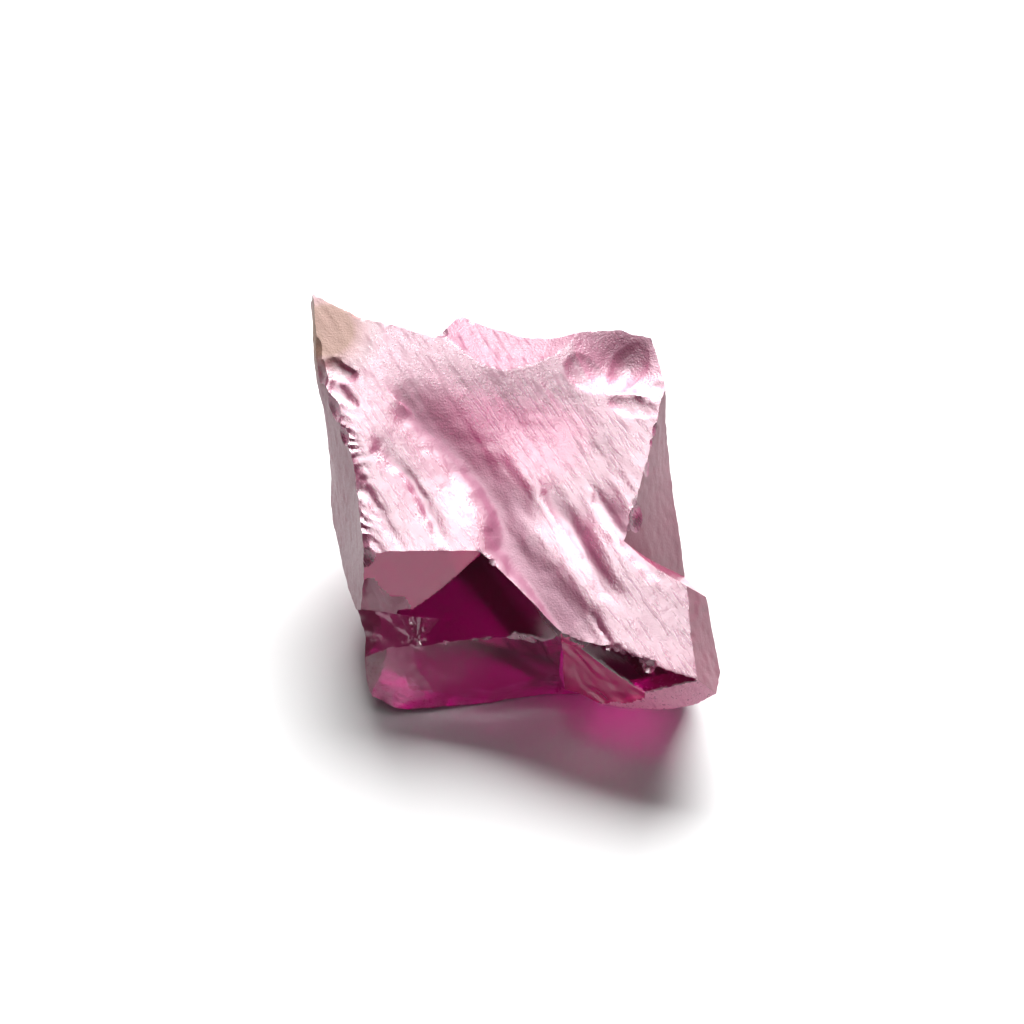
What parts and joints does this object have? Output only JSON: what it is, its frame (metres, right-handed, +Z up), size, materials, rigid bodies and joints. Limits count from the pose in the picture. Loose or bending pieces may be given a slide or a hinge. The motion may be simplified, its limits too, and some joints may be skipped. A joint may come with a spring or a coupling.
{
  "type": "raw ruby crystal",
  "caption": "Rough ruby crystal chip with a broad shallow scoop on top, glassy fracture facets, an overhanging tongue in front and a flat underside that it rests on.",
  "frame": {"origin": "on the ground under the middle of the stone's box", "axes": "+Z up, -Y towards the front, where the notch and the tongue are, +X towards the tongue's side"},
  "size_m": [0.014, 0.0144, 0.0101],
  "materials": {
    "ruby": "clear pinkish-red corundum, glassy on the small facets and finely frosted on the broad scoop"
  },
  "bodies": {
    "root": {"ruby_crystal": "ruby"}
  },
  "joints": []
}
